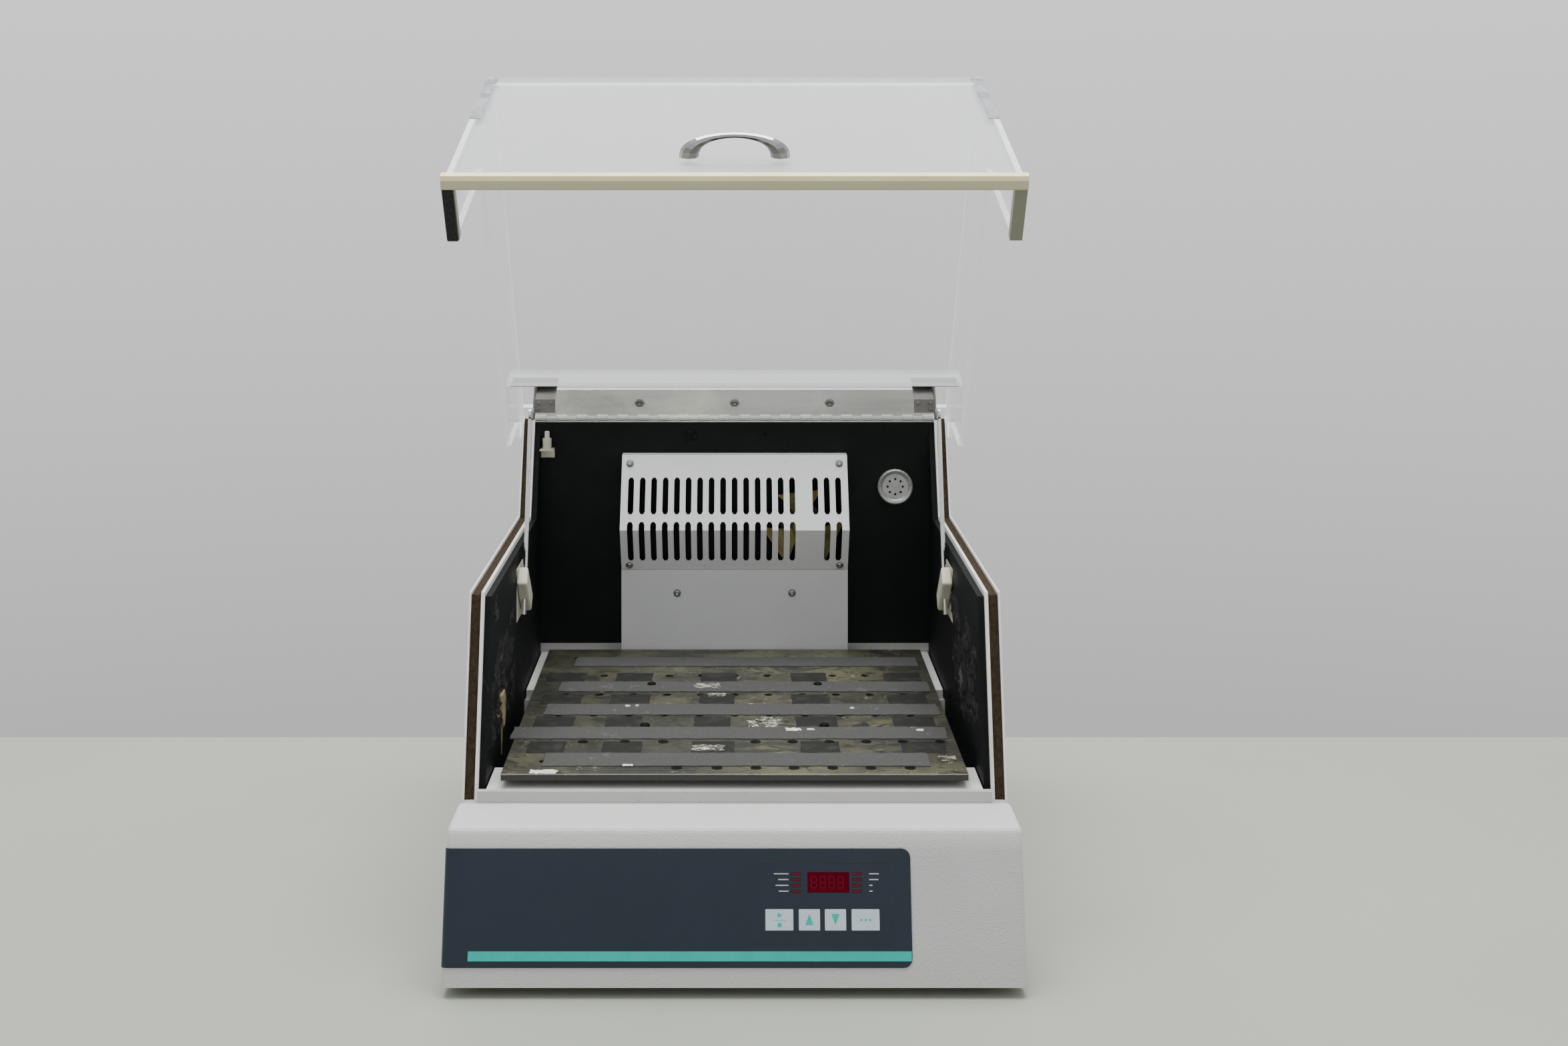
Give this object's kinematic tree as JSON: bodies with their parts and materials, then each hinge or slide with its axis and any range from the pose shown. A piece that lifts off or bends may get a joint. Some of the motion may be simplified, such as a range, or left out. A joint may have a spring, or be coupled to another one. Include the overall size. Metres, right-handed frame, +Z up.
{
  "type": "shaking incubator",
  "caption": "Benchtop shaking incubator with a hinged clear lid, orbiting platform, fan duct and front control panel.",
  "frame": {"origin": "on the table under the middle of the box that holds the whole object, lid open", "axes": "+Z up, -Y towards the front control panel, +X to the right seen from the front"},
  "size_m": [0.5512, 0.624, 0.8634],
  "materials": {
    "pan_steel": "satin",
    "shell_paint": "satin",
    "foam_core": "matte",
    "skin_paint": "satin",
    "sheet_steel": "satin",
    "liner_foam": "matte",
    "cover_paint": "textured",
    "label_film": "satin",
    "display_red": "gloss",
    "circuit_board": "satin",
    "key_film": "satin",
    "floor_paint": "satin",
    "cast_housing": "rough",
    "bearing_steel": "polished",
    "shaft_steel": "machined",
    "weight_iron": "rough",
    "pulley_alloy": "machined",
    "motor_case": "satin",
    "belt_rubber": "matte",
    "carrier_alloy": "satin",
    "worn_plate": "worn",
    "acrylic": "gloss",
    "trim_cream": "satin",
    "gasket_foam": "matte",
    "handle_chrome": "polished",
    "bracket_steel": "satin",
    "hinge_alloy": "satin",
    "stay_nylon": "satin",
    "rod_chrome": "polished",
    "duct_paint": "satin",
    "fan_alloy": "worn",
    "heater_metal": "oxidised",
    "vent_paint": "satin",
    "switch_nylon": "satin",
    "clear_plastic": "gloss",
    "inlet_black": "satin"
  },
  "bodies": {
    "root": {"base_pan": "pan_steel", "outer_shell": "shell_paint", "wall_foam": "foam_core", "inner_skin": "skin_paint", "hinge_rail": "sheet_steel", "foam_liner": "liner_foam", "front_cover": "cover_paint", "front_label": "label_film", "display_window": "display_red", "control_board": "circuit_board", "chamber_floor": "floor_paint", "bearing_housing": "cast_housing", "lower_bearing": "bearing_steel", "upper_bearing": "bearing_steel", "drive_motor": "motor_case", "drive_belt": "belt_rubber", "hinge_body_leaf": "hinge_alloy", "hinge_pin": "bearing_steel", "stay_plate_left": "stay_nylon", "stay_plate_right": "stay_nylon", "duct_panel": "duct_paint", "duct_grille": "duct_paint", "fan_motor": "motor_case", "heater_element": "heater_metal", "vent_cap": "vent_paint", "lid_switch": "switch_nylon", "power_inlet": "inlet_black"},
    "key_start": {"key_start": "key_film"},
    "key_up": {"key_up": "key_film"},
    "key_down": {"key_down": "key_film"},
    "key_select": {"key_select": "key_film"},
    "crank": {"eccentric_shaft": "shaft_steel", "counterweight": "weight_iron", "shaft_pulley": "pulley_alloy"},
    "motor_rotor": {"motor_pulley": "pulley_alloy"},
    "idler_1": {"idler_crank_1": "shaft_steel"},
    "idler_2": {"idler_crank_2": "shaft_steel"},
    "idler_3": {"idler_crank_3": "shaft_steel"},
    "platform": {"platform_carrier": "carrier_alloy", "platform": "worn_plate"},
    "lid": {"lid_top": "acrylic", "lid_front": "acrylic", "lid_cheek_left": "acrylic", "lid_cheek_right": "acrylic", "lid_trim": "trim_cream", "lid_gasket": "gasket_foam", "lid_handle": "handle_chrome", "lid_baffle": "acrylic", "stay_bracket_left": "bracket_steel", "stay_bracket_right": "bracket_steel", "hinge_lid_leaf": "hinge_alloy"},
    "stay_block_left": {"stay_block_left": "stay_nylon"},
    "stay_block_right": {"stay_block_right": "stay_nylon"},
    "stay_rod_left": {"stay_rod_left": "rod_chrome"},
    "stay_rod_right": {"stay_rod_right": "rod_chrome"},
    "fan": {"fan_blades": "fan_alloy"},
    "plunger": {"switch_plunger": "clear_plastic"},
    "rocker": {"power_rocker": "inlet_black"}
  },
  "joints": [
    {"name": "lid_hinge", "type": "hinge", "parent": "root", "child": "lid", "pos_m": [0, 0.298, 0.45], "axis": [1, 0, 0], "range_deg": [0, 55]},
    {"name": "crank_spin", "type": "hinge", "parent": "root", "child": "crank", "pos_m": [0, 0.01407, 0.112], "axis": [0, 0, 1], "continuous": true},
    {"name": "platform_orbit", "type": "hinge", "parent": "crank", "child": "platform", "pos_m": [0, 0.0236, 0.16], "axis": [0, 0, 1], "continuous": true},
    {"name": "motor_spin", "type": "hinge", "parent": "root", "child": "motor_rotor", "pos_m": [0.125, -0.062, 0.06], "axis": [0, 0, 1], "continuous": true},
    {"name": "fan_spin", "type": "hinge", "parent": "root", "child": "fan", "pos_m": [0.0852, 0.2774, 0.318], "axis": [0, -1, 0], "continuous": true},
    {"name": "idler_1_spin", "type": "hinge", "parent": "root", "child": "idler_1", "pos_m": [-0.11, 0.08807, 0.12], "axis": [0, 0, 1], "continuous": true},
    {"name": "idler_2_spin", "type": "hinge", "parent": "root", "child": "idler_2", "pos_m": [0.11, 0.08807, 0.12], "axis": [0, 0, 1], "continuous": true},
    {"name": "idler_3_spin", "type": "hinge", "parent": "root", "child": "idler_3", "pos_m": [0, -0.05993, 0.12], "axis": [0, 0, 1], "continuous": true},
    {"name": "key_start_press", "type": "slide", "parent": "root", "child": "key_start", "axis": [0, 0.969, -0.247], "range_m": [0, 0.0006], "stiffness_N_per_m": 500},
    {"name": "key_up_press", "type": "slide", "parent": "root", "child": "key_up", "axis": [0, 0.969, -0.247], "range_m": [0, 0.0006], "stiffness_N_per_m": 500},
    {"name": "key_down_press", "type": "slide", "parent": "root", "child": "key_down", "axis": [0, 0.969, -0.247], "range_m": [0, 0.0006], "stiffness_N_per_m": 500},
    {"name": "key_select_press", "type": "slide", "parent": "root", "child": "key_select", "axis": [0, 0.969, -0.247], "range_m": [0, 0.0006], "stiffness_N_per_m": 500},
    {"name": "plunger_press", "type": "slide", "parent": "root", "child": "plunger", "axis": [0, 0, -1], "range_m": [0, 0.006], "stiffness_N_per_m": 100},
    {"name": "rocker_tilt", "type": "hinge", "parent": "root", "child": "rocker", "pos_m": [-0.11, 0.304, 0.075], "axis": [1, 0, 0], "range_deg": [-14, 0]},
    {"name": "stay_swivel_left", "type": "hinge", "parent": "root", "child": "stay_block_left", "pos_m": [-0.2375, 0.07, 0.287], "axis": [1, 0, 0], "range_deg": [-55, 0]},
    {"name": "stay_slide_left", "type": "slide", "parent": "stay_block_left", "child": "stay_rod_left", "axis": [0, -0.2763, -0.9611], "range_m": [0, 0.0865]},
    {"name": "stay_swivel_right", "type": "hinge", "parent": "root", "child": "stay_block_right", "pos_m": [0.2375, 0.07, 0.287], "axis": [1, 0, 0], "range_deg": [-55, 0]},
    {"name": "stay_slide_right", "type": "slide", "parent": "stay_block_right", "child": "stay_rod_right", "axis": [0, -0.2763, -0.9611], "range_m": [0, 0.0865]}
  ],
  "couplings": [
    {"joint": "platform_orbit", "follows": "crank_spin", "ratio": -1},
    {"joint": "motor_spin", "follows": "crank_spin", "ratio": 3},
    {"joint": "idler_1_spin", "follows": "crank_spin", "ratio": 1},
    {"joint": "idler_2_spin", "follows": "crank_spin", "ratio": 1},
    {"joint": "idler_3_spin", "follows": "crank_spin", "ratio": 1},
    {"joint": "stay_swivel_left", "follows": "lid_hinge", "ratio": -0.99491},
    {"joint": "stay_slide_left", "follows": "lid_hinge", "m_per_rad": 0.08971},
    {"joint": "stay_swivel_right", "follows": "lid_hinge", "ratio": -0.99491},
    {"joint": "stay_slide_right", "follows": "lid_hinge", "m_per_rad": 0.08971}
  ]
}
